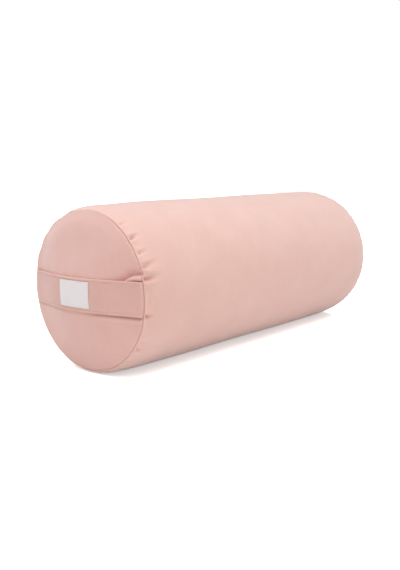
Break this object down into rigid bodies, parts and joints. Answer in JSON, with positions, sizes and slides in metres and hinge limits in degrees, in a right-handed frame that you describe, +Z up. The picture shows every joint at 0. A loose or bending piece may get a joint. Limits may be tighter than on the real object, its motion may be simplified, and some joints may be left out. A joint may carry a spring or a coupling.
{
  "type": "yoga bolster",
  "caption": "Round stuffed roll in a cotton canvas cover with crowned ends, a carrying strap across one end, a lengthwise zip at the back and a husk-filled liner bag inside.",
  "frame": {"origin": "middle of the flat patch that the roll rests on, below the middle of its length", "axes": "+X along the roll from the strap end to the plain end, +Z up, zip on the +Y side"},
  "size_m": [0.5972, 0.226, 0.2225],
  "materials": {
    "barrel_canvas": "matte plain-weave cotton canvas, dusty pink",
    "end_canvas": "matte plain-weave cotton canvas, dusty pink",
    "strap_canvas": "folded canvas, top-stitched along both edges",
    "patch_weave": "bare off-white woven patch",
    "tape_weave": "woven zip tape, dusty pink",
    "tooth_plastic": "moulded, satin, dusty pink",
    "stop_plastic": "moulded, satin, dusty pink",
    "slider_metal": "die-cast, dull nickel",
    "pull_metal": "stamped, dull nickel",
    "liner_cotton": "unbleached plain-weave cotton",
    "husk_fill": "loose grain husks"
  },
  "bodies": {
    "bolster": {"cover_barrel": "barrel_canvas", "cover_end_front": "end_canvas", "cover_end_rear": "end_canvas", "zip_tape_lower": "tape_weave", "zip_tape_upper": "tape_weave", "zip_teeth_lower": "tooth_plastic", "zip_teeth_upper": "tooth_plastic", "zip_top_stop_lower": "stop_plastic", "zip_top_stop_upper": "stop_plastic", "zip_bottom_stop": "stop_plastic", "liner_barrel": "liner_cotton", "liner_end_front": "liner_cotton", "liner_end_rear": "liner_cotton", "husk_filling": "husk_fill"},
    "handle": {"handle_strap": "strap_canvas", "label_patch": "patch_weave"},
    "slider": {"zip_slider": "slider_metal"},
    "pull": {"zip_pull": "pull_metal"}
  },
  "joints": [
    {"name": "handle_lift", "type": "slide", "parent": "bolster", "child": "handle", "axis": [-1, 0, 0], "range_m": [0, 0.025], "stiffness_N_per_m": 60},
    {"name": "zip_slide", "type": "slide", "parent": "bolster", "child": "slider", "axis": [1, 0, 0], "range_m": [0, 0.3719], "deforming": ["zip_teeth_lower", "zip_teeth_upper"]},
    {"name": "pull_hinge", "type": "hinge", "parent": "slider", "child": "pull", "pos_m": [-0.185, 0.10492, 0.1584], "axis": [0, -0.4226, 0.9063], "range_deg": [0, 170]}
  ]
}
